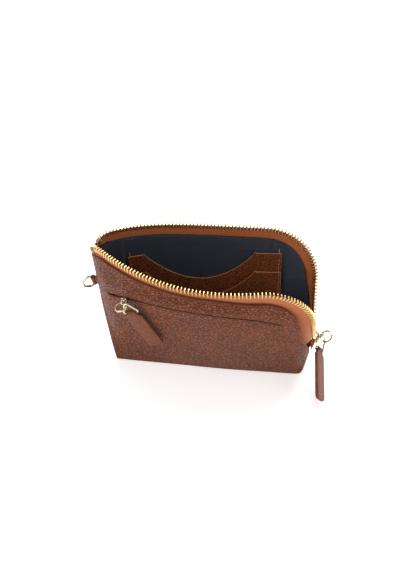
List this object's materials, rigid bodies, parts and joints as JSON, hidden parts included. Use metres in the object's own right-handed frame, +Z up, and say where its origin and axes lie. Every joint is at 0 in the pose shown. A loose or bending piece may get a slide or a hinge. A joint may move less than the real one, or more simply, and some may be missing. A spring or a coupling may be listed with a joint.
{
  "type": "zippered pouch",
  "caption": "Small flat-based leather pouch with a zip round its top and right side, mouth open, an outer zip pocket, inner card slots, leather zip pullers and a side ring",
  "frame": {"origin": "middle of the base, on the surface the pouch stands on", "axes": "+X along the pouch from the left zip end to the right one, +Y from the front to the back, +Z up"},
  "size_m": [0.1819, 0.0748, 0.1077],
  "materials": {
    "shell_leather": "pebbled full-grain leather, reddish brown, satin",
    "card_leather": "darker pebbled leather with light raw edges",
    "lining_fabric": "plain-woven navy lining, matt",
    "zip_tape": "herringbone woven tan zip tape",
    "zip_teeth": "bright polished brass teeth",
    "ring_metal": "pale gold plated wire, polished",
    "stiffener": "pressed board, hidden",
    "thread": "waxed sewing thread"
  },
  "bodies": {
    "pouch": {"back_lining": "lining_fabric", "back_panel": "shell_leather", "back_zip_tape": "zip_tape", "back_zip_teeth": "zip_teeth", "base_board": "stiffener", "base_lining": "lining_fabric", "base_panel": "shell_leather", "bottom_stop": "zip_teeth", "card_bartacks": "thread", "card_pocket_front": "card_leather", "card_pocket_rear": "card_leather", "front_lining": "lining_fabric", "front_panel": "shell_leather", "front_yoke": "shell_leather", "front_zip_tape": "zip_tape", "front_zip_teeth": "zip_teeth", "inner_loop": "lining_fabric", "left_gusset": "shell_leather", "left_gusset_lining": "lining_fabric", "pocket_bag": "lining_fabric", "pocket_zip_tape_lower": "zip_tape", "pocket_zip_tape_upper": "zip_tape", "pocket_zip_teeth": "zip_teeth", "right_gusset": "shell_leather", "right_gusset_lining": "lining_fabric", "side_tab": "shell_leather", "top_stops": "zip_teeth", "zip_tail_tape": "zip_tape", "zip_tail_teeth": "zip_teeth"},
    "main_slider": {"main_slider": "ring_metal"},
    "main_ring": {"main_ring": "ring_metal"},
    "main_link": {"main_link": "ring_metal"},
    "main_puller": {"main_puller_tab": "shell_leather"},
    "pocket_slider": {"pocket_slider": "ring_metal"},
    "pocket_ring": {"pocket_ring": "ring_metal"},
    "pocket_link": {"pocket_link": "ring_metal"},
    "pocket_puller": {"pocket_puller_tab": "shell_leather"},
    "d_ring": {"d_ring": "ring_metal"},
    "inner_ring": {"inner_ring": "ring_metal"}
  },
  "joints": [
    {"name": "main_slider_travel", "type": "slide", "parent": "pouch", "child": "main_slider", "axis": [-0.2257, 0.1693, -0.9594], "range_m": [0, 0.0036]},
    {"name": "main_ring_swing", "type": "hinge", "parent": "main_slider", "child": "main_ring", "pos_m": [0.08782, -0.00649, 0.03172], "axis": [0.4312, 0.4409, -0.7872], "range_deg": [-20, 6]},
    {"name": "main_link_swing", "type": "hinge", "parent": "main_ring", "child": "main_link", "pos_m": [0.08804, -0.011, 0.02932], "axis": [-0.8048, 0.5824, -0.1146], "range_deg": [-15, 5]},
    {"name": "main_puller_swing", "type": "hinge", "parent": "main_link", "child": "main_puller", "pos_m": [0.08527, -0.01565, 0.0252], "axis": [0.4312, 0.4409, -0.7872], "range_deg": [-25, 5]},
    {"name": "pocket_slider_travel", "type": "hinge", "parent": "pouch", "child": "pocket_slider", "pos_m": [0.00536, 0.03789, 0.03286], "axis": [0.0714, 0.4966, 0.8651], "range_deg": [-4, 53]},
    {"name": "pocket_ring_swing", "type": "hinge", "parent": "pocket_slider", "child": "pocket_ring", "pos_m": [-0.0518, -0.04053, 0.0743], "axis": [-0.3375, -0.1666, 0.9265], "range_deg": [-15, 2]},
    {"name": "pocket_link_swing", "type": "hinge", "parent": "pocket_ring", "child": "pocket_link", "pos_m": [-0.04772, -0.04367, 0.07522], "axis": [0.0647, 0.9778, 0.1993], "range_deg": [-10, 20]},
    {"name": "pocket_puller_swing", "type": "hinge", "parent": "pocket_link", "child": "pocket_puller", "pos_m": [-0.04513, -0.04258, 0.06902], "axis": [0.9227, -0.1347, 0.3611], "range_deg": [-60, 0]},
    {"name": "d_ring_swing", "type": "hinge", "parent": "pouch", "child": "d_ring", "pos_m": [-0.07966, -0.00904, 0.069], "axis": [-0.1041, -0.3495, 0.9311], "range_deg": [-60, 60]},
    {"name": "inner_ring_swing", "type": "hinge", "parent": "pouch", "child": "inner_ring", "pos_m": [-0.05833, -0.00162, 0.07246], "axis": [-0.9439, -0.3304, 0], "range_deg": [-30, 30]}
  ]
}
